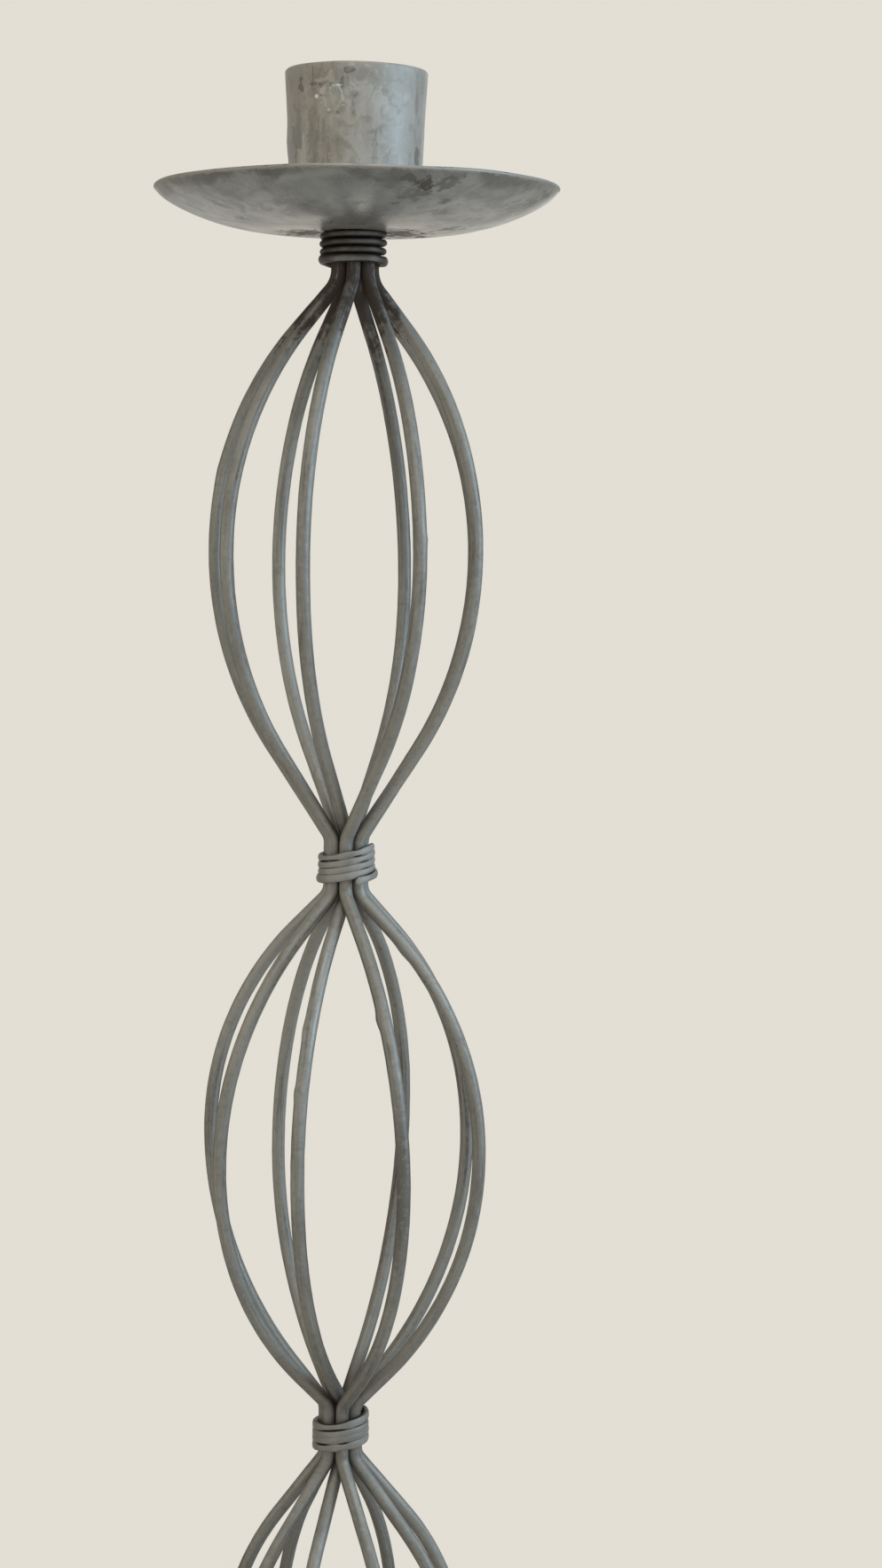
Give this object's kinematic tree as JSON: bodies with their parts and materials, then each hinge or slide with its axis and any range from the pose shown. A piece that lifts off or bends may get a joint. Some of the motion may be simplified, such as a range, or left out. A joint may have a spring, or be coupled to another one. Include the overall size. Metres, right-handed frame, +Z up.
{
  "type": "candle holder",
  "caption": "Tall wire candle holder: long wires bowed into stacked cages and bound at each waist, with a domed base, a drip pan and a flared candle cup.",
  "frame": {"origin": "on the table, under the middle of the base dish", "axes": "+Z up along the stick, -Y towards the side that the picture shows"},
  "size_m": [0.11, 0.11, 0.4065],
  "materials": {
    "sheet": "aged grey zinc, satin and mottled",
    "stem_wire": "aged grey zinc, satin",
    "binding_wire": "aged grey zinc, dark between the turns",
    "braze": "dull grey braze"
  },
  "bodies": {
    "root": {"candle_cup": "sheet", "drip_pan": "sheet", "base_dish": "sheet", "cup_braze": "braze", "top_weld": "braze", "foot_weld": "braze", "stem_wire_1": "stem_wire", "stem_wire_2": "stem_wire", "stem_wire_3": "stem_wire", "stem_wire_4": "stem_wire", "stem_wire_5": "stem_wire", "stem_wire_6": "stem_wire", "stem_wire_7": "stem_wire", "stem_wire_8": "stem_wire", "foot_binding": "binding_wire", "lower_binding": "binding_wire", "upper_binding": "binding_wire", "top_binding": "binding_wire"}
  },
  "joints": []
}
